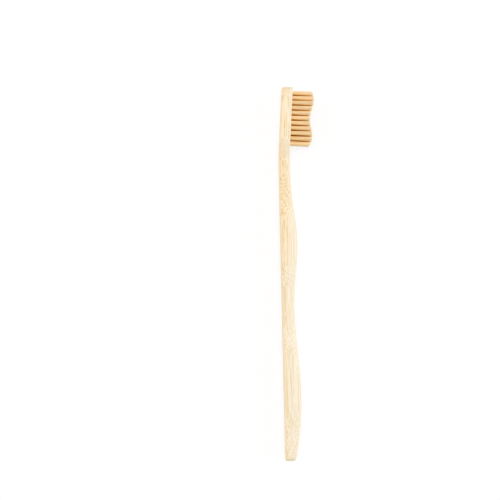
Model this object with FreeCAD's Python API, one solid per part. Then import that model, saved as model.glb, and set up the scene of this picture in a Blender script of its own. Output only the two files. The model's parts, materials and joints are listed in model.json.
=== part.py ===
"""Manual toothbrush: one bamboo handle, rows of nylon tufts and the metal anchors that hold them.

The brush lies on its side. +Y runs along the handle to the head, +X is the way the bristles
point, +Z is up, and the origin is the middle of the brush's box on the surface that it lies on.
While the pieces are made, y = 0 is the tail end, x = 0 the flat back and z = 0 the middle of
the width.
"""
import FreeCAD
import Part
import math
import os

# Sizes are in millimetres and angles in degrees

# Handle: lengths from one named place to the next, from the tail to the heel of the head
TAIL_TO_PALM = 32.5
PALM_TO_WAIST = 46.0
WAIST_TO_THUMB = 33.0
THUMB_TO_NECK = 32.0
NECK_RUN = 8.5
NECK_TO_HEEL = 7.1

# Handle: how thick it is from the flat back to the bristle side, and how wide
TAIL_THICKNESS = 5.15
PALM_THICKNESS = 8.72
WAIST_THICKNESS = 6.25
THUMB_THICKNESS = 8.4
NECK_THICKNESS = 5.75
HEAD_THICKNESS = 5.4
TAIL_WIDTH = 7.2
PALM_WIDTH = 11.5
WAIST_WIDTH = 8.6
THUMB_WIDTH = 11.0
NECK_WIDTH = 6.6

# Handle: how far the width stays level at its swells and its waist, and how far past the
# heel the head goes on widening
PALM_LEVEL_RUN = 20.0
WAIST_LEVEL_RUN = 15.0
THUMB_LEVEL_RUN = 18.0
SHOULDER_RUN = 6.0

# Handle: rounded ends and long edges
TAIL_ROUND = 3.2
TIP_ROUND = 5.2
END_EDGE_ROUND = 0.8
END_FLAT_SHARE = 0.1
GRIP_EDGE_RADIUS = 1.6
NECK_EDGE_RADIUS = 1.4
HEAD_EDGE_RADIUS = 0.8
EDGE_LIMIT_SHARE = 0.9

# Handle: the head leans towards the bristles, and the back is sanded flat
HEAD_TILT = 3.9
BEND_LENGTH = 13.2
SANDED_DEPTH = 0.04

# Tufts: the field of holes on the head, which narrows by one column for each of the last rows
# at both ends, and what is left around it
TUFT_ROWS = 11
TUFT_COLUMNS = 4
NARROWING_ROWS = 2
ROW_PITCH = 2.55
COLUMN_PITCH = 2.5
TIP_MARGIN = 3.2
HEEL_MARGIN = 2.2
SIDE_MARGIN = 2.0

# Tufts: bundle size, and the wave with rounded corners that the tips are trimmed to
TUFT_DIAMETER = 1.96
TUFT_TIP_DIAMETER = 2.08
TUFT_TIP_ROUND = 0.3
END_ROW_TIP_ROUND = 0.4
VALLEY_LENGTH = 9.4
WAVE_HEIGHT = 1.6
WAVE_LENGTH = 18.3
TIP_CORNER_ROUND = 1.3
HEEL_CORNER_ROUND = 1.8

# Holes and the anchor plates that each bundle is folded over
HOLE_DEPTH = 3.2
HOLE_CLEARANCE = 0.02
ANCHOR_HEIGHT = 1.4
ANCHOR_THICKNESS = 0.3
ANCHOR_BITE = 0.16
SLOT_CLEARANCE = 0.02

# Spacing of the cross sections that the handle is drawn through
SECTION_STEP = 2.0
END_SECTION_ANGLE = 10.0
JOIN_TOLERANCE = 0.001

# Places along the handle, worked out from the lengths above
PALM_AT = TAIL_TO_PALM
WAIST_AT = PALM_AT + PALM_TO_WAIST
THUMB_AT = WAIST_AT + WAIST_TO_THUMB
NECK_START_AT = THUMB_AT + THUMB_TO_NECK
NECK_END_AT = NECK_START_AT + NECK_RUN
HEEL_AT = NECK_END_AT + NECK_TO_HEEL
SHOULDER_AT = HEEL_AT + SHOULDER_RUN
LAST_ROW_AT = HEEL_AT + HEEL_MARGIN
TILT = math.radians(HEAD_TILT)
END_ROWS = (0, TUFT_ROWS - 1)
FIRST_ROW_AT = LAST_ROW_AT + (TUFT_ROWS - 1) * ROW_PITCH * math.cos(TILT)
TIP_AT = FIRST_ROW_AT + TIP_MARGIN
BEND_START_AT = HEEL_AT - BEND_LENGTH
BEND_MIDDLE_AT = HEEL_AT - BEND_LENGTH / 2
HEAD_WIDTH = (TUFT_COLUMNS - 1) * COLUMN_PITCH + 2 * SIDE_MARGIN
HEAD_DEPTH = HEAD_THICKNESS / math.cos(TILT)
FIELD_HALF_LENGTH = (TUFT_ROWS - 1) / 2 * ROW_PITCH + TUFT_TIP_DIAMETER / 2
TUFT_RADIUS = TUFT_DIAMETER / 2
HOLE_RADIUS = TUFT_RADIUS + HOLE_CLEARANCE
FOLD_DEPTH = HOLE_DEPTH - HOLE_RADIUS

THICKNESS_PLACES = (
    (PALM_AT, PALM_THICKNESS),
    (WAIST_AT, WAIST_THICKNESS),
    (THUMB_AT, THUMB_THICKNESS),
    (NECK_START_AT, NECK_THICKNESS),
    (HEEL_AT, HEAD_DEPTH),
)
WIDTH_PLACES = (
    (PALM_AT, PALM_WIDTH),
    (PALM_AT + PALM_LEVEL_RUN, PALM_WIDTH),
    (WAIST_AT - WAIST_LEVEL_RUN / 2, WAIST_WIDTH),
    (WAIST_AT + WAIST_LEVEL_RUN / 2, WAIST_WIDTH),
    (THUMB_AT - THUMB_LEVEL_RUN / 2, THUMB_WIDTH),
    (THUMB_AT + THUMB_LEVEL_RUN / 2, THUMB_WIDTH),
    (NECK_START_AT, NECK_WIDTH),
    (NECK_END_AT, NECK_WIDTH),
    (SHOULDER_AT, HEAD_WIDTH),
)
EDGE_PLACES = (
    (THUMB_AT, GRIP_EDGE_RADIUS),
    (NECK_START_AT, NECK_EDGE_RADIUS),
    (NECK_END_AT, NECK_EDGE_RADIUS),
    (HEEL_AT, HEAD_EDGE_RADIUS),
)


def levelled(places, y):
    """A size at y that levels out at each of its named places and eases between them."""
    if y <= places[0][0]:
        return places[0][1]
    for (start, size), (end, next_size) in zip(places, places[1:]):
        if y <= end:
            ease = (1 - math.cos(math.pi * (y - start) / (end - start))) / 2
            return size + (next_size - size) * ease
    return places[-1][1]


def tapered(places, tail_size, y):
    """The same, but falling in a parabola to the tail's own size behind the first place."""
    first_at, first_size = places[0]
    if y >= first_at:
        return levelled(places, y)
    return first_size - (first_size - tail_size) * ((first_at - y) / first_at) ** 2


def end_share(distance, length):
    """Share of the full size left at a distance from an elliptical end of the given length."""
    if distance >= length:
        return 1.0
    return math.sqrt(1 - (1 - distance / length) ** 2)


def width(y):
    """Width of the handle at y, drawn in to a small flat at the tail and at the tip."""
    flat = 1 - math.sqrt(1 - END_FLAT_SHARE ** 2)
    tail = end_share(y + flat * TAIL_ROUND, TAIL_ROUND)
    tip = end_share(TIP_AT - y + flat * TIP_ROUND, TIP_ROUND)
    return tapered(WIDTH_PLACES, TAIL_WIDTH, y) * tail * tip


def end_inset(y):
    """How far the back and the bristle side are rounded in at y, close to either end."""
    nearest = min(y, TIP_AT - y)
    return END_EDGE_ROUND * (1 - end_share(nearest, END_EDGE_ROUND))


def back_line(y):
    """Place of the back at y: straight along the handle, a bend at the neck, a straight head."""
    if y <= BEND_START_AT:
        return -SANDED_DEPTH
    if y <= HEEL_AT:
        return -SANDED_DEPTH + math.tan(TILT) * (y - BEND_START_AT) ** 2 / (2 * BEND_LENGTH)
    return -SANDED_DEPTH + math.tan(TILT) * (y - BEND_MIDDLE_AT)


def front_line(y):
    """Place of the bristle side at y."""
    return back_line(y) + SANDED_DEPTH + tapered(THICKNESS_PLACES, TAIL_THICKNESS, y)


def corner_arc(x, z, radius, y, x_way, z_way):
    """Start, middle and end of a rounded corner about (x, z), taken anticlockwise about +Y."""
    reach = radius * math.sqrt(0.5)
    on_face = FreeCAD.Vector(x + x_way * radius, y, z)
    middle = FreeCAD.Vector(x + x_way * reach, y, z + z_way * reach)
    on_side = FreeCAD.Vector(x, y, z + z_way * radius)
    if x_way == z_way:
        return on_face, middle, on_side
    return on_side, middle, on_face


def section(y):
    """Rounded rectangle that the handle has for its cross section at y."""
    back = back_line(y) + end_inset(y)
    front = front_line(y) - end_inset(y)
    half = width(y) / 2
    limit = EDGE_LIMIT_SHARE * min(half, (front - back) / 2)
    radius = min(levelled(EDGE_PLACES, y), limit)
    arcs = [
        corner_arc(front - radius, half - radius, radius, y, 1, 1),
        corner_arc(back + radius, half - radius, radius, y, -1, 1),
        corner_arc(back + radius, radius - half, radius, y, -1, -1),
        corner_arc(front - radius, radius - half, radius, y, 1, -1),
    ]
    edges = []
    for (start, middle, end), following in zip(arcs, arcs[1:] + arcs[:1]):
        edges.append(Part.Arc(start, middle, end).toShape())
        edges.append(Part.LineSegment(end, following[0]).toShape())
    return Part.Wire(edges)


def drawn(places):
    """Solid drawn smoothly through the cross sections at the given places."""
    return Part.makeLoft([section(y) for y in places], True, False)


def even_places(start, end, step):
    """Evenly spaced places from start to end, about a step apart."""
    count = max(1, round((end - start) / step))
    return [start + (end - start) * number / count for number in range(count + 1)]


def end_places(end, length):
    """Places from a rounded end inwards, closer together where the outline turns fastest."""
    angles = even_places(0, math.pi / 2, math.radians(END_SECTION_ANGLE))
    return [end + length * (1 - math.cos(angle)) for angle in angles]


def columns_in(row):
    """How many tufts a row has."""
    from_end = min(row, TUFT_ROWS - 1 - row)
    return TUFT_COLUMNS - max(0, NARROWING_ROWS - from_end)


def head_places():
    """Row, column and mouth of every hole, with the row's distance from the field's middle."""
    for row in range(TUFT_ROWS):
        along = ((TUFT_ROWS - 1) / 2 - row) * ROW_PITCH
        y = FIRST_ROW_AT - row * ROW_PITCH * math.cos(TILT)
        for column in range(columns_in(row)):
            z = (column - (columns_in(row) - 1) / 2) * COLUMN_PITCH
            yield row, column, along, FreeCAD.Vector(front_line(y), y, z)


def on_head(shape, mouth):
    """Puts a shape drawn along +X from a hole's mouth into that hole, square to the head."""
    turn = FreeCAD.Rotation(FreeCAD.Vector(0, 0, 1), -HEAD_TILT)
    placed = shape.copy()
    placed.Placement = FreeCAD.Placement(mouth, turn)
    return placed


def bar(x_start, x_end, y_half, z_half):
    """Straight bar about the X axis."""
    corner = FreeCAD.Vector(x_start, -y_half, -z_half)
    return Part.makeBox(x_end - x_start, 2 * y_half, 2 * z_half, corner)


def rod(radius, x_start, x_end):
    """Round rod along the X axis."""
    start = FreeCAD.Vector(x_start, 0, 0)
    return Part.makeCylinder(radius, x_end - x_start, start, FreeCAD.Vector(1, 0, 0))


def fold(radius):
    """Bottom of a bundle, where its filaments turn round the lower edge of the anchor."""
    across = FreeCAD.Vector(-FOLD_DEPTH, -radius, 0)
    turn = Part.makeCylinder(radius, 2 * radius, across, FreeCAD.Vector(0, 1, 0))
    return rod(radius, -FOLD_DEPTH - radius, -FOLD_DEPTH).common(turn)


def anchor():
    """Small metal plate driven into the hole with the bundle folded over it."""
    bottom = -FOLD_DEPTH + SLOT_CLEARANCE
    return bar(bottom, bottom + ANCHOR_HEIGHT, HOLE_RADIUS + ANCHOR_BITE, ANCHOR_THICKNESS / 2)


def hole():
    """Blind hole for one bundle, open past the mouth, with the slit that its anchor cuts."""
    return rod(HOLE_RADIUS, -HOLE_DEPTH, HOLE_RADIUS).fuse(anchor())


def trimmed_length(along):
    """Length of a bundle outside the head at a distance from the middle of the field."""
    wave = WAVE_HEIGHT * (1 - math.cos(2 * math.pi * along / WAVE_LENGTH)) / 2
    corner = TIP_CORNER_ROUND if along > 0 else HEEL_CORNER_ROUND
    drop = corner * (1 - end_share(FIELD_HALF_LENGTH - abs(along), corner))
    return VALLEY_LENGTH + wave - drop


def trimmed_slope(along):
    """Slope of the trim over the middle of a bundle, in degrees, rising towards the tip of the head."""
    reach = TUFT_RADIUS / 2
    rise = trimmed_length(along + reach) - trimmed_length(along - reach)
    return math.degrees(math.atan(rise / (2 * reach)))


def tuft(along, tip_round):
    """One folded bundle of filaments, slightly flared, with its tips trimmed along the field's line."""
    length = trimmed_length(along)
    past = length + TUFT_DIAMETER
    flare = (TUFT_TIP_DIAMETER - TUFT_DIAMETER) / 2 / length
    out = FreeCAD.Vector(1, 0, 0)
    free = Part.makeCone(TUFT_RADIUS, TUFT_RADIUS + flare * past, past, FreeCAD.Vector(0, 0, 0), out)
    waste = bar(0, 2 * past, 2 * past, 2 * past)
    turn = FreeCAD.Rotation(FreeCAD.Vector(0, 0, 1), -trimmed_slope(along))
    waste.Placement = FreeCAD.Placement(FreeCAD.Vector(length, 0, 0), turn)
    free = free.cut(waste)
    top = max(free.Faces, key=lambda face: face.CenterOfMass.x)
    free = free.makeFillet(tip_round, top.Edges)
    bundle = free.multiFuse([rod(TUFT_RADIUS, -FOLD_DEPTH, 0), fold(TUFT_RADIUS)])
    slot_end = -FOLD_DEPTH + ANCHOR_HEIGHT + 2 * SLOT_CLEARANCE
    slot = bar(-FOLD_DEPTH, slot_end, TUFT_DIAMETER, ANCHOR_THICKNESS / 2 + SLOT_CLEARANCE)
    return bundle.cut(slot).removeSplitter()


def behind_back():
    """Block behind the plane of the flat back."""
    corner = FreeCAD.Vector(-TIP_AT, -TIP_AT, -TIP_AT)
    return Part.makeBox(TIP_AT, 3 * TIP_AT, 2 * TIP_AT, corner)


def tail():
    """Rounded tail end."""
    return drawn(end_places(0, TAIL_ROUND)).cut(behind_back())


def stem():
    """Grip, neck and shoulders, from the tail's rounding to the full width of the head."""
    return drawn(even_places(TAIL_ROUND, SHOULDER_AT, SECTION_STEP)).cut(behind_back())


def head():
    """Straight stretch of the head, from its shoulders to the tip's rounding."""
    run = TIP_AT - TIP_ROUND - SHOULDER_AT
    return Part.Face(section(SHOULDER_AT)).extrude(FreeCAD.Vector(run * math.tan(TILT), run, 0))


def tip():
    """Rounded end of the head."""
    return drawn(end_places(TIP_AT, -TIP_ROUND))


def handle():
    """Bamboo handle in one piece, with a blind hole for every bundle."""
    whole = stem().multiFuse([tail(), head(), tip()], JOIN_TOLERANCE)
    holes = [on_head(hole(), mouth) for _, _, _, mouth in head_places()]
    return whole.cut(Part.makeCompound(holes))


def tuft_name(row, column):
    """Rows are numbered from the tip, and columns are lettered from the underside up."""
    return f"tuft_{row + 1:02d}_{chr(ord('a') + column)}"


def pieces():
    """Every piece of the brush by its name."""
    made = {"handle": handle()}
    anchors = []
    for row, column, along, mouth in head_places():
        tip_round = END_ROW_TIP_ROUND if row in END_ROWS else TUFT_TIP_ROUND
        made[tuft_name(row, column)] = on_head(tuft(along, tip_round), mouth)
        anchors.append(on_head(anchor(), mouth))
    made["anchors"] = Part.makeCompound(anchors)
    return made


def main():
    """Builds the pieces, moves them to the brush's own origin and writes them."""
    made = pieces()
    box = Part.makeCompound(list(made.values())).optimalBoundingBox()
    origin = FreeCAD.Vector(box.Center.x, box.Center.y, box.ZMin)
    os.makedirs("parts", exist_ok=True)
    for name, shape in made.items():
        shape.translate(-origin)
        shape.exportStep(f"parts/{name}.step")
    for row, column, along, mouth in head_places():
        print("mouth", tuft_name(row, column), mouth - origin, "length", round(trimmed_length(along), 2))
    print("size", box.XLength, box.YLength, box.ZLength, "origin", origin)


main()
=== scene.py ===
"""Looks of a bamboo toothbrush: grained bamboo, folded nylon bristles, metal anchors and a pale stage."""

import json
import math
import random

import bpy
from bpy.props import FloatProperty, FloatVectorProperty, IntProperty, PointerProperty
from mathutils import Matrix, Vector


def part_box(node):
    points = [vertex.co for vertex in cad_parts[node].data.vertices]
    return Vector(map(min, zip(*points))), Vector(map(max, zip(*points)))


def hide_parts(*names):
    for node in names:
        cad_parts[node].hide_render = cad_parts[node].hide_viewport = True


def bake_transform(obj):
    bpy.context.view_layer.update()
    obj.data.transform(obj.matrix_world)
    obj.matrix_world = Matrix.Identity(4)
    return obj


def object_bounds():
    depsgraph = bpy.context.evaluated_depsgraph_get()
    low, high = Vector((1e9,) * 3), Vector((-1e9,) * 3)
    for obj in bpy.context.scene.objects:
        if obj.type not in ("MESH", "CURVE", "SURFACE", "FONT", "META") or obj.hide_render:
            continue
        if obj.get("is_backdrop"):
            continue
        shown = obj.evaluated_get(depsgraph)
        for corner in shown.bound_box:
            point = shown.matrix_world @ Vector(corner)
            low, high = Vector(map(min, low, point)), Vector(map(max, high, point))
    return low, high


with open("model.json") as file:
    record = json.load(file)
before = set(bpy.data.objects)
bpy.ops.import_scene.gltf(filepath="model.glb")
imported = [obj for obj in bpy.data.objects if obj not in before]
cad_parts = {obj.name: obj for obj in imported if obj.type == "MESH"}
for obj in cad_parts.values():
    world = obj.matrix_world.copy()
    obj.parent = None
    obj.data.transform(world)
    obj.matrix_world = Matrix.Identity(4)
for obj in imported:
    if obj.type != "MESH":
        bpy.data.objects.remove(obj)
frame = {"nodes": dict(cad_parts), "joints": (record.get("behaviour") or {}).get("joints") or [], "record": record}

bl_info = {
    "name": "Bamboo toothbrush",
    "version": (1, 0, 0),
    "blender": (4, 5, 0),
    "location": "3D View > Sidebar > Toothbrush",
    "description": "Dresses a toothbrush in grained bamboo and folded bristles, on a pale stage",
    "category": "Object",
}

CAD_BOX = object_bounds()
MILLIMETRE = 0.001
MILLIMETRES_PER_METRE = 1000.0

HANDLE_NODE = "handle"
ANCHOR_NODE = "anchors"
TUFT_PREFIX = "tuft_"
BRISTLE_PREFIX = "bristles_"
# Name of the mesh attribute with each filament's share of painted light, which paints shade into the nylon
PAINTED_DAYLIGHT = "daylight"

HANDLE_LOW, HANDLE_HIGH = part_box(HANDLE_NODE)
ROW_MOUTHS = {joint["child"]: Vector(joint["pos_m"]) for joint in frame["joints"]}
ROW_NAMES = sorted(ROW_MOUTHS)
ROW_NODES = {row: frame["record"]["behaviour"]["bodies"][row] for row in ROW_NAMES}
TOWARDS_TIP = (ROW_MOUTHS[ROW_NAMES[0]] - ROW_MOUTHS[ROW_NAMES[-1]]).normalized()
ACROSS_HEAD = Vector((0, 0, 1))
OUT_OF_HEAD = TOWARDS_TIP.cross(ACROSS_HEAD).normalized()
LONGEST_REACH = (CAD_BOX[1] - CAD_BOX[0]).length

# Noise of the finishes, in cells to the millimetre along X, Y and Z
WANDER_CELLS = (0.10, 0.03, 0.10)
WAVER_CELLS = (0.9, 0.3, 0.9)
FIBRE_CELLS = (8.0, 0.06, 8.0)
STREAK_CELLS = (1.3, 0.016, 1.3)
PATCH_CELLS = (0.12, 0.03, 0.12)
NYLON_CELLS = (0.6, 4.0, 4.0)
DRAWN_NYLON_CELLS = (1.0, 40.0, 40.0)
METAL_LINE_CELLS = (30.0, 2.0, 30.0)
METAL_PATCH_CELLS = (1.2, 1.2, 1.2)
FLOOR_CELLS = (0.8, 0.8, 0.8)

# Ranges over which a noise or a slope takes effect
NOISE_MEAN = (0.5, 0.5, 0.5)
NOISE_RANGE = (0.3, 0.7)
FIBRE_RANGE = (0.45, 0.72)
PATCH_RANGE = (0.3, 0.65)
DULL_RANGE = (0.4, 0.7)
END_GRAIN_RANGE = (0.6, 1.0)
WORN_RANGE = (0.2, 0.5)

# Fibre bundles, as shares of their spacing
LATTICE_RANDOMNESS = 0.4
LATTICE_SHIFTS = (0.0, 0.5)
SHEATH_EDGE = (0.48, 0.2)
CORE_EDGE = (0.36, 0.22)
CORE_FLATNESS = 1.5

# Places along Y and distances in the wood, in millimetres
WANDER_REACH = (2.4, 0, 1.3)
WAVER_REACH = (0.5, 0, 0.16)
PATCH_REACH = 2.4
GOLDEN_SKIN = 0.2
PALE_SKIN = 1.4
NECK_SLOPE = (41.0, 52.0)
NECK_LEAN = 1.0
HEADWARD_STRETCH = (-20.0, 46.0)
HEADWARD_SHIFT = (-1.8, 1.9)
# The wood is paler at the head's shoulder, partly its own tone and partly painted light that lifts the shade it
# gets as it slopes away from the top light
SHOULDER_START = (56.0, 62.0)
SHOULDER_END = (76.0, 68.0)
SHOULDER_TONE_AND_PAINTED_LIGHT = -1.6

# Shares of colour and relief in the wood
SHEATH_SHARE = 0.28
FAINTEST_BUNDLE = 0.55
BUNDLE_CLARITY = (0.9, 0.48)
PATCH_CLARITY = 0.7
FIBRE_SHARE = 0.2
STREAK_TINTS = (0.965, 1.02)
END_GRAIN_SHARE = 0.25
WORN_SHARE = 0.15
WORN_POLISH = -0.3
BUNDLE_RELIEF = -0.7
FIBRE_RELIEF = 0.8

# Roughness of the finishes from smooth to dull places, and how far their colours vary
WOOD_ROUGHNESS = (0.46, 0.62)
NYLON_ROUGHNESS = (0.34, 0.5)
METAL_ROUGHNESS = (0.25, 0.45)
NYLON_LIGHTEST = 1.05
NYLON_SHADE_ALONG = 0.08
NYLON_SHADE_EACH = 0.05
DULL_METAL = 0.7
WHITE = (1, 1, 1, 1)
BLACK = (0, 0, 0, 1)

# Depths of fine relief and width of the floor, in metres
DRAWN_NYLON_DEPTH = 0.000004
METAL_LINE_DEPTH = 0.000005
FLOOR_TOOTH_DEPTH = 0.00005
FLOOR_HALF_WIDTH = 3.0

# Share of a tuft's height at which the radius of its tip is measured
TIP_MEASURED_AT = 0.8

# Width of the camera's sensor, in millimetres
SENSOR_WIDTH = 36.0


class BambooSettings(bpy.types.PropertyGroup):
    """Colours and grain of the handle."""

    inner_colour: FloatVectorProperty(
        name="Inner wood", description="Pale wood on the bristle side, from inside the stalk",
        subtype="COLOR", size=4, min=0, max=1, default=(0.935, 0.85, 0.69, 1))
    outer_colour: FloatVectorProperty(
        name="Outer wood", description="Golden wood at the back, from below the stalk's skin",
        subtype="COLOR", size=4, min=0, max=1, default=(0.955, 0.79, 0.525, 1))
    bundle_colour: FloatVectorProperty(
        name="Fibre bundles", description="Darker bundles of fibres that run along the stalk",
        subtype="COLOR", size=4, min=0, max=1, default=(0.74, 0.45, 0.13, 1))
    through_spacing: FloatProperty(
        name="Spacing through", description="Distance between bundles from the back to the bristle side",
        unit="LENGTH", min=0.0002, default=0.00122)
    across_spacing: FloatProperty(
        name="Spacing across", description="Distance between bundles across the handle's width",
        unit="LENGTH", min=0.0002, default=0.00034)
    relief: FloatProperty(
        name="Relief", description="Depth of the sanded grain",
        unit="LENGTH", min=0, default=0.00002)


class TuftSettings(bpy.types.PropertyGroup):
    """Filaments of the tufts."""

    diameter: FloatProperty(
        name="Filament diameter", description="Thickness of one nylon filament",
        unit="LENGTH", min=0.00005, default=0.0002)
    clearance: FloatProperty(
        name="Filament clearance", description="Room between neighbouring filaments in the hole",
        unit="LENGTH", min=0, default=0.000004)
    trim_scatter: FloatProperty(
        name="Trim scatter", description="How far a filament may end short of the trimmed wave",
        unit="LENGTH", min=0, default=0.00016)
    splay: FloatProperty(
        name="Splay", description="How far a filament's tip may stray from its place in the bundle",
        unit="LENGTH", min=0, default=0.00007)
    fan: FloatProperty(
        name="Fan", description="How far the outermost filaments fan out past the trimmed solid",
        unit="LENGTH", min=0, default=0.00016)
    anchor_thickness: FloatProperty(
        name="Anchor thickness", description="Thickness of the plate that the filaments fold round",
        unit="LENGTH", min=0, default=0.00034)
    sides: IntProperty(
        name="Sides", description="Flats round one filament", min=3, max=16, default=6)
    leg_steps: IntProperty(
        name="Steps", description="Lengths that one filament is divided into, so that it can bend",
        min=2, max=32, default=8)
    colour: FloatVectorProperty(
        name="Nylon", description="Tan nylon on the outside of the field",
        subtype="COLOR", size=4, min=0, max=1, default=(1.0, 0.83, 0.56, 1))
    # Painted shade: the nylon inside the bristle field gets this deeper colour where little light would reach it
    painted_shade_colour: FloatVectorProperty(
        name="Deep nylon",
        description="Nylon inside the field, where light has passed through other filaments",
        subtype="COLOR", size=4, min=0, max=1, default=(1.0, 0.49, 0.05, 1))
    # Depths over which the painted shade inside the field gives way to the plain nylon, from the sides and from
    # the tips
    side_depth: FloatProperty(
        name="Light from the sides", description="Depth at which light from the sides has faded",
        unit="LENGTH", min=0.0001, default=0.0005)
    tip_depth: FloatProperty(
        name="Light from the tips", description="Depth at which light from the tips has faded",
        unit="LENGTH", min=0.0001, default=0.0015)
    roundness: FloatProperty(
        name="Bundle roundness",
        description="How far a filament is shaded as part of its round bundle, as light passes through",
        subtype="FACTOR", min=0, max=0.95, default=0.5)


class AnchorSettings(bpy.types.PropertyGroup):
    """Metal plates that hold the tufts."""

    colour: FloatVectorProperty(
        name="Metal", description="Drawn brass of the plates",
        subtype="COLOR", size=4, min=0, max=1, default=(0.72, 0.56, 0.30, 1))


class StageSettings(bpy.types.PropertyGroup):
    """Floor, lights and camera."""

    floor_colour: FloatVectorProperty(
        name="Floor", description="Pale floor that the brush lies on",
        subtype="COLOR", size=4, min=0, max=1, default=(0.93, 0.93, 0.93, 1))
    floor_glow: FloatProperty(
        name="Floor glow", description="Share of plain white in what the camera sees of the floor",
        min=0, max=1, default=0.8)
    sky_strength: FloatProperty(
        name="Room light", description="Even light from all round", min=0, default=0.55)
    key_power: FloatProperty(
        name="Top light", description="Broad lamp overhead, a little beyond the head of the brush",
        unit="POWER", min=0, default=218.0)
    back_power: FloatProperty(
        name="Back light", description="Broad lamp on the side of the handle's back",
        unit="POWER", min=0, default=32.0)
    front_power: FloatProperty(
        name="Front light", description="Broad lamp on the side that the bristles point to",
        unit="POWER", min=0, default=48.0)
    camera_height: FloatProperty(
        name="Camera height", description="Height of the camera over the middle of the brush",
        unit="LENGTH", min=0.1, default=0.5)
    picture_span: FloatProperty(
        name="Picture span", description="Width of the picture at the middle of the brush",
        unit="LENGTH", min=0.01, default=0.25429)
    picture_middle: FloatVectorProperty(
        name="Picture middle", description="Place on the floor below the middle of the picture",
        unit="LENGTH", size=2, default=(-0.024795, 0.012685))
    camera_roll: FloatProperty(
        name="Camera roll", description="Turn of the picture about its middle",
        subtype="ANGLE", default=math.radians(-1.312))


class NodeBench:
    """Lays out nodes in a tree."""

    def __init__(self, tree):
        self.tree = tree

    def feed(self, socket, value):
        """Links a socket to another one, or sets its own value."""
        if isinstance(value, bpy.types.NodeSocket):
            self.tree.links.new(value, socket)
        else:
            socket.default_value = value

    def node(self, kind, inputs=(), **settings):
        """One node with its settings, and its inputs as (name or number, value) pairs."""
        made = self.tree.nodes.new(kind)
        for setting, value in settings.items():
            setattr(made, setting, value)
        for name, value in inputs:
            self.feed(made.inputs[name], value)
        return made

    def math(self, operation, *values):
        """Result of a Math node."""
        return self.node("ShaderNodeMath", enumerate(values), operation=operation).outputs[0]

    def vector_math(self, operation, *values):
        """Result of a Vector Math node."""
        return self.node("ShaderNodeVectorMath", enumerate(values), operation=operation).outputs[0]

    def length(self, vector):
        """Length of a vector."""
        return self.node("ShaderNodeVectorMath", ((0, vector),), operation="LENGTH").outputs["Value"]

    def ramp(self, value, low, high, new_low=0.0, new_high=1.0):
        """Value taken smoothly from the range low to high into a new range."""
        names = ("Value", "From Min", "From Max", "To Min", "To Max")
        inputs = zip(names, (value, low, high, new_low, new_high))
        return self.node("ShaderNodeMapRange", inputs, interpolation_type="SMOOTHSTEP").outputs[0]

    def mix(self, share, first, second, blend_type="MIX"):
        """Mix of two colours."""
        made = self.node("ShaderNodeMix", data_type="RGBA", blend_type=blend_type)
        colour_sockets = [socket for socket in made.inputs if socket.type == "RGBA"]
        self.feed(made.inputs[0], share)
        self.feed(colour_sockets[0], first)
        self.feed(colour_sockets[1], second)
        return next(socket for socket in made.outputs if socket.type == "RGBA")

    def tinted(self, colour, tint):
        """A colour made lighter or darker by a number."""
        return self.mix(1.0, colour, self.join(tint, tint, tint), "MULTIPLY")

    def noise(self, place, cells, detail):
        """Outputs of a Noise node with so many cells to the millimetre along X, Y and Z."""
        scaled = self.vector_math("MULTIPLY", place, cells)
        inputs = (("Vector", scaled), ("Scale", 1.0), ("Detail", detail))
        return self.node("ShaderNodeTexNoise", inputs).outputs

    def place_in_millimetres(self):
        """Place on the piece, in millimetres."""
        place = self.node("ShaderNodeTexCoord").outputs["Object"]
        return self.vector_math("MULTIPLY", place, (MILLIMETRES_PER_METRE,) * 3)

    def split(self, vector):
        """The X, Y and Z of a vector."""
        return self.node("ShaderNodeSeparateXYZ", (("Vector", vector),)).outputs

    def join(self, x, y, z):
        """A vector from its X, Y and Z."""
        return self.node("ShaderNodeCombineXYZ", enumerate((x, y, z))).outputs[0]

    def bump(self, height, strength, depth):
        """Normal of a surface with a relief of the given depth."""
        inputs = (("Strength", strength), ("Distance", depth), ("Height", height))
        return self.node("ShaderNodeBump", inputs).outputs["Normal"]


class MaterialBench(NodeBench):
    """Lays out the nodes of one material in front of its shader."""

    def __init__(self, name):
        self.material = bpy.data.materials.new(name)
        self.material.use_nodes = True
        super().__init__(self.material.node_tree)

    def set_surface(self, **values):
        """Sets the shader's sockets, named with underscores for spaces."""
        surface = self.tree.nodes["Principled BSDF"]
        for name, value in values.items():
            self.feed(surface.inputs[name.replace("_", " ")], value)


def strayed(bench, moved, place, cells, reach):
    """A place that is moved aside by noise, by up to half of a reach either way."""
    noise = bench.noise(place, cells, detail=1.0)["Color"]
    aside = bench.vector_math("SUBTRACT", noise, NOISE_MEAN)
    return bench.vector_math("MULTIPLY_ADD", aside, reach, moved)


def bundle_lattice(bench, through, across, shift):
    """One lattice of fibre bundles, each a thin dark core in a fainter sheath, some fainter than others."""
    place = bench.join(bench.math("ADD", through, shift), bench.math("ADD", across, shift), 0.0)
    inputs = (("Vector", place), ("Scale", 1.0), ("Randomness", LATTICE_RANDOMNESS))
    cells = bench.node("ShaderNodeTexVoronoi", inputs, voronoi_dimensions="2D").outputs
    sheath = bench.ramp(cells["Distance"], *SHEATH_EDGE, 0.0, SHEATH_SHARE)
    offset = bench.vector_math("SUBTRACT", place, cells["Position"])
    flattened = bench.vector_math("MULTIPLY", offset, (1.0, CORE_FLATNESS, 0.0))
    core = bench.ramp(bench.length(flattened), *CORE_EDGE)
    clarity = bench.ramp(bench.split(cells["Color"])[0], 0.0, 1.0, FAINTEST_BUNDLE, 1.0)
    return bench.math("MULTIPLY", bench.math("MAXIMUM", sheath, core), clarity)


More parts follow.
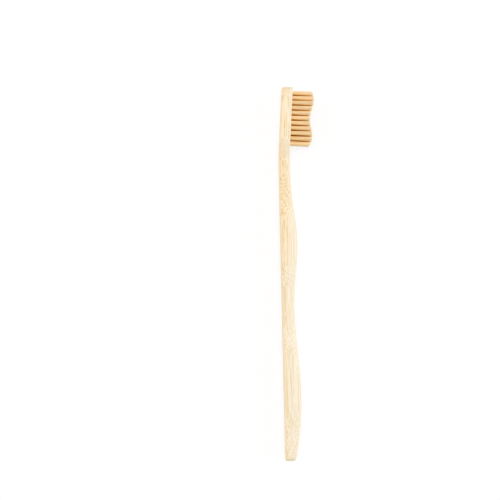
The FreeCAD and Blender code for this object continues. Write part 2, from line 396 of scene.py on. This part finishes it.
def bundle_field(bench, place, settings):
    """Fibre bundles that run along Y in two lattices, each filling the other's gaps, and wander a little."""
    moved = strayed(bench, place, place, WANDER_CELLS, WANDER_REACH)
    moved = strayed(bench, moved, place, WAVER_CELLS, WAVER_REACH)
    x, y, z = bench.split(moved)
    leaned = bench.math("SUBTRACT", z, bench.ramp(y, *NECK_SLOPE, 0.0, NECK_LEAN))
    through = bench.math("MULTIPLY", x, MILLIMETRE / settings.through_spacing)
    across = bench.math("MULTIPLY", leaned, MILLIMETRE / settings.across_spacing)
    lattices = [bundle_lattice(bench, through, across, shift) for shift in LATTICE_SHIFTS]
    return bench.math("MAXIMUM", *lattices)


def wood_paleness(bench, place, patch):
    """0 in the golden wood at the back, 1 in the pale wood in front; the gold is deeper towards the head, and the
    head's shoulder is paler, partly its own tone and partly painted light that lifts the shade of its slope away
    from the top light.
    """
    x, y, _ = bench.split(place)
    depth = bench.math("MULTIPLY_ADD", patch, PATCH_REACH, x)
    # Paler wood at the shoulder: partly the wood's own tone, partly painted light against the shade of its slope
    shoulder = bench.math("MULTIPLY", bench.ramp(y, *SHOULDER_START), bench.ramp(y, *SHOULDER_END))
    headward = bench.ramp(y, *HEADWARD_STRETCH, *HEADWARD_SHIFT)
    headward = bench.math("MULTIPLY_ADD", shoulder, SHOULDER_TONE_AND_PAINTED_LIGHT, headward)
    back = HANDLE_LOW.x * MILLIMETRES_PER_METRE + GOLDEN_SKIN
    front = HANDLE_HIGH.x * MILLIMETRES_PER_METRE - PALE_SKIN
    return bench.ramp(bench.math("SUBTRACT", depth, headward), back, front)


def bamboo(settings):
    """Sanded bamboo: pale ground, golden at the back, with darker bundles and fine fibres along the stalk."""
    bench = MaterialBench("sanded_bamboo")
    inner = tuple(settings.inner_colour)
    outer = tuple(settings.outer_colour)
    dark = tuple(settings.bundle_colour)
    place = bench.place_in_millimetres()
    normal = bench.split(bench.node("ShaderNodeTexCoord").outputs["Normal"])
    bundles = bundle_field(bench, place, settings)
    fibre = bench.noise(place, FIBRE_CELLS, detail=3.0)["Fac"]
    streak = bench.noise(place, STREAK_CELLS, detail=2.0)["Fac"]
    patch = bench.noise(place, PATCH_CELLS, detail=1.0)["Fac"]

    paleness = wood_paleness(bench, place, patch)
    clarity = bench.math("MULTIPLY", bench.ramp(paleness, 0.0, 1.0, *BUNDLE_CLARITY),
                         bench.ramp(patch, *PATCH_RANGE, PATCH_CLARITY, 1.0))
    end_grain = bench.ramp(bench.math("ABSOLUTE", normal[1]), *END_GRAIN_RANGE, 0.0, END_GRAIN_SHARE)
    rounding = bench.math("ABSOLUTE", bench.math("MULTIPLY", normal[0], normal[2]))
    worn = bench.ramp(rounding, *WORN_RANGE, 0.0, WORN_SHARE)

    wood = bench.mix(paleness, outer, inner)
    wood = bench.mix(bench.math("MULTIPLY", bundles, clarity), wood, dark)
    wood = bench.mix(bench.ramp(fibre, *FIBRE_RANGE, 0.0, FIBRE_SHARE), wood, dark)
    wood = bench.tinted(wood, bench.ramp(streak, *NOISE_RANGE, *STREAK_TINTS))
    wood = bench.mix(end_grain, wood, dark)
    wood = bench.mix(worn, wood, inner)

    raised = bench.math("MULTIPLY", fibre, FIBRE_RELIEF)
    relief = bench.math("MULTIPLY_ADD", bundles, BUNDLE_RELIEF, raised)
    dullness = bench.ramp(fibre, *NOISE_RANGE, *WOOD_ROUGHNESS)
    bench.set_surface(
        Base_Color=wood, Roughness=bench.math("MULTIPLY_ADD", worn, WORN_POLISH, dullness),
        Normal=bench.bump(relief, strength=0.5, depth=settings.relief), Specular_IOR_Level=0.35)
    return bench.material


def nylon(settings):
    """Tan nylon: each filament a little lighter or darker, deeper in colour inside the bristle field as painted
    shade, with a satin skin and fine drawn lines.
    """
    bench = MaterialBench("tan_nylon")
    place = bench.place_in_millimetres()
    of_filament = bench.node("ShaderNodeNewGeometry").outputs["Random Per Island"]
    daylight = bench.node("ShaderNodeAttribute", attribute_name=PAINTED_DAYLIGHT).outputs["Fac"]
    along = bench.noise(place, NYLON_CELLS, detail=2.0)["Fac"]
    drawn = bench.noise(place, DRAWN_NYLON_CELLS, detail=1.0)["Fac"]
    shade = bench.math("MULTIPLY", of_filament, NYLON_SHADE_EACH)
    shade = bench.math("MULTIPLY_ADD", along, NYLON_SHADE_ALONG, shade)
    # Painted shade: the colour goes from the plain nylon to the deep colour as the share of painted light falls
    # inside the field
    colour = bench.mix(daylight, tuple(settings.painted_shade_colour), tuple(settings.colour))
    colour = bench.tinted(colour, bench.math("SUBTRACT", NYLON_LIGHTEST, shade))
    bench.set_surface(
        Base_Color=colour, Roughness=bench.ramp(along, *NOISE_RANGE, *NYLON_ROUGHNESS),
        Normal=bench.bump(drawn, strength=0.3, depth=DRAWN_NYLON_DEPTH), Specular_IOR_Level=0.2)
    return bench.material


def drawn_metal(settings):
    """Drawn and cut metal with fine lines along the plate and duller patches."""
    bench = MaterialBench("drawn_metal")
    place = bench.place_in_millimetres()
    lines = bench.noise(place, METAL_LINE_CELLS, detail=3.0)["Fac"]
    dull = bench.noise(place, METAL_PATCH_CELLS, detail=2.0)["Fac"]
    darker = tuple(DULL_METAL * channel for channel in settings.colour[:3]) + (1,)
    colour = bench.mix(bench.ramp(dull, *DULL_RANGE), tuple(settings.colour), darker)
    bench.set_surface(
        Base_Color=colour, Metallic=1.0, Roughness=bench.ramp(lines, *NOISE_RANGE, *METAL_ROUGHNESS),
        Normal=bench.bump(lines, strength=0.4, depth=METAL_LINE_DEPTH))
    return bench.material


def pale_floor(settings):
    """Matt pale floor that the camera sees as white, with the brush's shadow left in it."""
    bench = MaterialBench("pale_floor")
    tooth = bench.noise(bench.place_in_millimetres(), FLOOR_CELLS, detail=3.0)["Fac"]
    glow = bench.math("MULTIPLY", seen_directly(bench), settings.floor_glow)
    colour = bench.mix(glow, tuple(settings.floor_colour), BLACK)
    bench.set_surface(
        Base_Color=colour, Roughness=0.9, Emission_Color=WHITE, Emission_Strength=glow,
        Normal=bench.bump(tooth, strength=0.1, depth=FLOOR_TOOTH_DEPTH))
    return bench.material


def seen_directly(bench):
    """1 for a ray from the camera, or one that it sees in a shiny or clear surface."""
    path = bench.node("ShaderNodeLightPath").outputs
    either = bench.math("MAXIMUM", path["Is Camera Ray"], path["Is Glossy Ray"])
    return bench.math("MAXIMUM", either, path["Is Transmission Ray"])


def put_in_scene(name, data):
    """A new object of the scene that shows a mesh, a light or a camera."""
    made = bpy.data.objects.new(name, data)
    bpy.context.scene.collection.objects.link(made)
    return made


def dress(node, material):
    """Gives a piece of the model its finish."""
    slots = frame["nodes"][node].material_slots
    if not slots:
        raise RuntimeError(f"{node} has no material slot")
    for slot in slots:
        slot.material = material


def measured_tuft(node, mouth):
    """Depth of a tuft's fold below the mouth, and its radius at the mouth and at the tip."""
    solid = frame["nodes"][node]
    heights = [(vertex.co - mouth).dot(OUT_OF_HEAD) for vertex in solid.data.vertices]
    mouth_radius = reach_aside(solid, mouth)
    tip_radius = reach_aside(solid, mouth + OUT_OF_HEAD * TIP_MEASURED_AT * max(heights))
    return -min(heights) - mouth_radius, mouth_radius, tip_radius


def reach_aside(solid, middle):
    """Distance from the middle of a tuft to its side, across the head."""
    above = middle + ACROSS_HEAD * LONGEST_REACH
    hit, place, _, _ = solid.ray_cast(above, -ACROSS_HEAD)
    if not hit:
        raise RuntimeError(f"{solid.name} has no side at {tuple(middle)}")
    return (place - middle).dot(ACROSS_HEAD)


def half_bundle(radius, pitch):
    """Places of the filaments in one half of a bundle, in rows: (along the head, across it)."""
    row_gap = pitch * math.sqrt(0.75)
    rows = math.floor((radius - pitch / 2) / row_gap) + 1
    for row in range(rows):
        across = pitch / 2 + row * row_gap
        reach = math.sqrt(max(radius ** 2 - across ** 2, 0))
        count = math.floor(2 * reach / pitch) + 1
        for number in range(count):
            share = 2 * number / (count - 1) - 1 if count > 1 else 0
            yield share * reach, across


def trimmed_height(solid, mouth, along, across):
    """Height over the mouth at which a filament is trimmed, read from the trimmed end of its tuft."""
    start = mouth + OUT_OF_HEAD * LONGEST_REACH + TOWARDS_TIP * along + ACROSS_HEAD * across
    hit, place, _, _ = solid.ray_cast(start, -OUT_OF_HEAD)
    if not hit:
        raise RuntimeError(f"{solid.name} has no end over {along}, {across}")
    return (place - mouth).dot(OUT_OF_HEAD)


class Stop:
    """One place on a filament's path: its share of painted light, which paints shade into the nylon, and how its
    round bundle turns the shading.
    """

    def __init__(self, place, daylight=0.0, turned_out=Vector()):
        self.place = place
        self.daylight = daylight
        self.turned_out = turned_out


class Tubes:
    """Gathers round-ended filaments into one mesh."""

    # Degrees round a tip, from the filament's full thickness towards its end
    TIP_ANGLES = (0, 38, 68)

    def __init__(self, radius, sides):
        self.radius = radius
        self.sides = sides
        self.points = []
        self.faces = []
        self.daylight = []
        self.facings = []

    def add_point(self, place, stop, facing=Vector()):
        """Adds one point, with the share of painted light of its stop and the way that it is shaded to face, if
        any.
        """
        self.points.append(place)
        self.daylight.append(stop.daylight)
        self.facings.append(facing)

    def add_ring(self, stop, along):
        """Adds a full ring of points at a stop, square to the direction along."""
        for outward in self.spokes(along):
            facing = outward + stop.turned_out
            self.add_point(stop.place + outward * self.radius, stop, facing.normalized())

    def add_tip(self, stop, along, inward, angles):
        """Adds the rings of a rounded tip at one end of a filament that runs along a direction."""
        for angle in angles:
            turn = math.radians(angle)
            middle = stop.place + inward * self.radius * (1 - math.sin(turn))
            for outward in self.spokes(along):
                self.add_point(middle + outward * self.radius * math.cos(turn), stop)

    def spokes(self, along):
        """Directions out of a filament that runs along a direction, in the order of its sides."""
        first = (TOWARDS_TIP - along * TOWARDS_TIP.dot(along)).normalized()
        second = along.cross(first)
        for side in range(self.sides):
            angle = 2 * math.pi * side / self.sides
            yield first * math.cos(angle) + second * math.sin(angle)

    def add_end(self, ring, stop, turned):
        """Closes a filament at its first or last ring with a point."""
        apex = len(self.points)
        self.add_point(stop.place, stop)
        for side in range(self.sides):
            pair = (ring + side, ring + (side + 1) % self.sides)
            self.faces.append((apex, *(pair[::-1] if turned else pair)))

    def add(self, path):
        """Adds a filament along a path of stops, with both of its tips rounded."""
        first_way = (path[1].place - path[0].place).normalized()
        last_way = (path[-1].place - path[-2].place).normalized()
        begin = len(self.points)
        self.add_tip(path[0], first_way, first_way, reversed(self.TIP_ANGLES))
        for before, here, after in zip(path, path[1:], path[2:]):
            self.add_ring(here, (after.place - before.place).normalized())
        self.add_tip(path[-1], last_way, -last_way, self.TIP_ANGLES)
        last_ring = len(self.points) - self.sides
        for low in range(begin, last_ring, self.sides):
            for side in range(self.sides):
                following = (side + 1) % self.sides
                self.faces.append((low + side, low + following,
                                   low + self.sides + following, low + self.sides + side))
        self.add_end(begin, path[0], True)
        self.add_end(last_ring, path[-1], False)

    def piece(self, name, material):
        """The filaments as one smooth object."""
        mesh = bpy.data.meshes.new(name)
        mesh.from_pydata(self.points, [], self.faces)
        mesh.polygons.foreach_set("use_smooth", [True] * len(mesh.polygons))
        # The share of painted light, from which the nylon paints shade inside the field
        mesh.attributes.new(PAINTED_DAYLIGHT, "FLOAT", "POINT").data.foreach_set("value", self.daylight)
        mesh.normals_split_custom_set_from_vertices(self.facings)
        mesh.materials.append(material)
        return put_in_scene(name, mesh)


class TuftMaker:
    """Makes the folded filaments of one tuft where its solid is."""

    # Lengths that the fold, and a leg below the mouth, are divided into
    FOLD_STEPS = 6
    ROOT_STEPS = 2

    def __init__(self, node, row, settings):
        low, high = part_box(node)
        self.solid = frame["nodes"][node]
        self.settings = settings
        self.mouth = ROW_MOUTHS[row].copy()
        self.mouth.z = (low.z + high.z) / 2
        self.fold_depth, self.mouth_radius, self.tip_radius = measured_tuft(node, self.mouth)
        self.chance = random.Random(node)
        self.radius = settings.diameter / 2
        boxes = [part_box(other) for other in ROW_NODES[row]]
        self.row_low = min(low.z for low, _ in boxes)
        self.row_high = max(high.z for _, high in boxes)
        self.field_start = ROW_MOUTHS[ROW_NAMES[-1]].dot(TOWARDS_TIP) - self.tip_radius
        self.field_end = ROW_MOUTHS[ROW_NAMES[0]].dot(TOWARDS_TIP) + self.tip_radius

    def at(self, height, along, across):
        """Point at a height over the mouth, off the tuft's middle."""
        return self.mouth + OUT_OF_HEAD * height + TOWARDS_TIP * along + ACROSS_HEAD * across

    def daylight(self, place, below_tip):
        """Share of painted light at a place of the tuft: 1 on the outside of the field, less inside it, where the
        nylon is painted with shade.
        """
        along = place.dot(TOWARDS_TIP)
        inside = min(place.z - self.row_low, self.row_high - place.z,
                     along - self.field_start, self.field_end - along)
        from_side = math.exp(-max(inside, 0) / self.settings.side_depth)
        from_tip = math.exp(-below_tip / self.settings.tip_depth)
        return max(from_side, from_tip)

    def folded_across(self, across, innermost, outermost):
        """Distance from the anchor's middle plane in the fold, which leaves room for the plate."""
        nearest = self.settings.anchor_thickness / 2 + self.radius
        share = (across - innermost) / (outermost - innermost)
        return nearest + share * (outermost - nearest)

    def leg(self, along, across, folded):
        """Stops of one leg, from its trimmed tip down to the fold."""
        flare = self.tip_radius / self.mouth_radius
        stray = [self.chance.uniform(-1, 1) * self.settings.splay for _ in range(2)]
        short = self.chance.random() ** 2 * self.settings.trim_scatter
        edge = (self.tip_radius - self.radius) / math.hypot(along, across)
        inside = min(flare, edge)
        height = trimmed_height(self.solid, self.mouth, along * inside, across * inside) - short
        out_of_bundle = (TOWARDS_TIP * along + ACROSS_HEAD * across).normalized()
        turned_out = out_of_bundle * self.settings.roundness / (1 - self.settings.roundness)
        fanned = self.settings.fan / self.tip_radius
        for step in range(self.settings.leg_steps + 1):
            share = 1 - step / self.settings.leg_steps
            grown = 1 + (inside - 1) * share + fanned * math.sin(math.pi / 2 * share)
            place = self.at(height * share, along * grown + stray[0] * share ** 2,
                            across * grown + stray[1] * share ** 2)
            yield Stop(place, self.daylight(place, height * (1 - share)), turned_out)
        for step in range(1, self.ROOT_STEPS + 1):
            share = step / self.ROOT_STEPS
            yield Stop(self.at(-self.fold_depth * share, along, across + (folded - across) * share))

    def fold(self, along, folded):
        """Stops of the turn under the anchor, from one side to the other."""
        for step in range(1, self.FOLD_STEPS):
            angle = math.pi * step / self.FOLD_STEPS
            depth = -self.fold_depth - folded * math.sin(angle)
            yield Stop(self.at(depth, along, folded * math.cos(angle)))

    def make(self, name, material):
        """The tuft's piece."""
        pitch = self.settings.diameter + self.settings.clearance
        outermost = self.mouth_radius - self.radius
        tubes = Tubes(self.radius, self.settings.sides)
        for along, across in half_bundle(outermost, pitch):
            folded = self.folded_across(across, pitch / 2, outermost)
            down = list(self.leg(along, across, folded))
            up = list(self.leg(along, -across, -folded))
            tubes.add([*down, *self.fold(along, folded), *reversed(up)])
        return tubes.piece(name, material)


def add_lamp(name, place, target, width, power):
    """Square soft box that points at a target."""
    light = bpy.data.lights.new(name, "AREA")
    light.shape = "SQUARE"
    light.size = width
    light.energy = power
    lamp = put_in_scene(name, light)
    lamp.location = place
    lamp.rotation_euler = (target - place).to_track_quat("-Z", "Y").to_euler()


def add_floor(settings):
    """Wide floor under the brush."""
    mesh = bpy.data.meshes.new("floor")
    signs = ((-1, -1), (1, -1), (1, 1), (-1, 1))
    corners = [(x * FLOOR_HALF_WIDTH, y * FLOOR_HALF_WIDTH, CAD_BOX[0].z) for x, y in signs]
    mesh.from_pydata(corners, [], [(0, 1, 2, 3)])
    mesh.materials.append(pale_floor(settings))
    floor = put_in_scene("floor", mesh)
    floor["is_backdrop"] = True


def light_room(settings):
    """Even room light, white where the camera looks past the floor."""
    world = bpy.data.worlds.new("room")
    world.use_nodes = True
    world.node_tree.nodes.clear()
    bench = NodeBench(world.node_tree)
    strength = bench.ramp(seen_directly(bench), 0.0, 1.0, settings.sky_strength, 1.0)
    background = bench.node("ShaderNodeBackground", (("Color", WHITE), ("Strength", strength)))
    bench.node("ShaderNodeOutputWorld", (("Surface", background.outputs[0]),))
    bpy.context.scene.world = world


def add_camera(settings):
    """Camera straight above, turned so that the brush leans in the picture."""
    data = bpy.data.cameras.new("overhead_camera")
    data.sensor_width = SENSOR_WIDTH
    data.lens = data.sensor_width * settings.camera_height / settings.picture_span
    camera = put_in_scene("overhead_camera", data)
    middle_height = (CAD_BOX[0].z + CAD_BOX[1].z) / 2
    camera.location = (*settings.picture_middle, middle_height + settings.camera_height)
    camera.rotation_euler = (0, 0, settings.camera_roll)
    bpy.context.scene.camera = camera


class TOOTHBRUSH_OT_finish_handle(bpy.types.Operator):
    """Give the handle its sanded bamboo"""

    bl_idname = "toothbrush.finish_handle"
    bl_label = "Finish handle"

    def execute(self, context):
        dress(HANDLE_NODE, bamboo(context.scene.toothbrush_bamboo))
        return {"FINISHED"}


class TOOTHBRUSH_OT_finish_anchors(bpy.types.Operator):
    """Give the anchors in the holes their drawn metal"""

    bl_idname = "toothbrush.finish_anchors"
    bl_label = "Finish anchors"

    def execute(self, context):
        dress(ANCHOR_NODE, drawn_metal(context.scene.toothbrush_anchors))
        return {"FINISHED"}


class TOOTHBRUSH_OT_make_tufts(bpy.types.Operator):
    """Fold the filaments of every tuft into its hole"""

    bl_idname = "toothbrush.make_tufts"
    bl_label = "Make tufts"

    BENDS_FROM = 0.0
    BENDS_TO = 0.7

    def execute(self, context):
        settings = context.scene.toothbrush_tufts
        material = nylon(settings)
        for row in ROW_NAMES:
            for node in ROW_NODES[row]:
                maker = TuftMaker(node, row, settings)
                piece = maker.make(node.replace(TUFT_PREFIX, BRISTLE_PREFIX), material)
                height = trimmed_height(maker.solid, maker.mouth, 0, 0)
                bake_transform(piece)
                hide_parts(node)
        return {"FINISHED"}


class TOOTHBRUSH_OT_set_stage(bpy.types.Operator):
    """Set up the floor, the soft light and the overhead camera"""

    bl_idname = "toothbrush.set_stage"
    bl_label = "Set stage"

    # Name, place and width in metres of each lamp, and the setting that holds its power
    LAMPS = (
        ("top_light", Vector((0.0, 1.2, 8.0)), 4.4, "key_power"),
        ("back_light", Vector((-3.5, 0.5, 1.6)), 2.6, "back_power"),
        ("front_light", Vector((3.5, 0.5, 1.6)), 2.6, "front_power"),
    )

    def execute(self, context):
        settings = context.scene.toothbrush_stage
        add_floor(settings)
        light_room(settings)
        middle = (CAD_BOX[0] + CAD_BOX[1]) / 2
        for name, place, width, power in self.LAMPS:
            add_lamp(name, place, middle, width, getattr(settings, power))
        add_camera(settings)
        context.scene.view_settings.view_transform = "Standard"
        return {"FINISHED"}


class TOOTHBRUSH_PT_panel(bpy.types.Panel):
    """Settings and steps of the toothbrush"""

    bl_label = "Toothbrush"
    bl_idname = "TOOTHBRUSH_PT_panel"
    bl_space_type = "VIEW_3D"
    bl_region_type = "UI"
    bl_category = "Toothbrush"

    def draw(self, context):
        for operator, group in STEPS:
            box = self.layout.box()
            settings = getattr(context.scene, group)
            for name in settings.bl_rna.properties.keys():
                if name not in ("rna_type", "name"):
                    box.prop(settings, name)
            box.operator(operator.bl_idname)


GROUPS = {
    "toothbrush_bamboo": BambooSettings,
    "toothbrush_tufts": TuftSettings,
    "toothbrush_anchors": AnchorSettings,
    "toothbrush_stage": StageSettings,
}
STEPS = (
    (TOOTHBRUSH_OT_finish_handle, "toothbrush_bamboo"),
    (TOOTHBRUSH_OT_finish_anchors, "toothbrush_anchors"),
    (TOOTHBRUSH_OT_make_tufts, "toothbrush_tufts"),
    (TOOTHBRUSH_OT_set_stage, "toothbrush_stage"),
)
CLASSES = (*GROUPS.values(), *(operator for operator, _ in STEPS), TOOTHBRUSH_PT_panel)


def register():
    """Adds the classes to Blender and the settings to every scene."""
    for made in CLASSES:
        bpy.utils.register_class(made)
    for name, group in GROUPS.items():
        setattr(bpy.types.Scene, name, PointerProperty(type=group))


def unregister():
    """Takes the settings and the classes out again."""
    for name in GROUPS:
        delattr(bpy.types.Scene, name)
    for made in reversed(CLASSES):
        bpy.utils.unregister_class(made)


def write_sizes():
    """Works out the box of the model and the box of its dressed pieces, without keeping or writing them."""
    boxes = {"cad": CAD_BOX, "visual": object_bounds()}
    {name: [list(corner) for corner in box] for name, box in boxes.items()}


def main():
    """Dresses the brush step by step and sets the stage."""
    register()
    bpy.ops.toothbrush.finish_handle()
    bpy.ops.toothbrush.finish_anchors()
    bpy.ops.toothbrush.make_tufts()
    bpy.ops.toothbrush.set_stage()
    write_sizes()


if __name__ == "__main__":
    main()
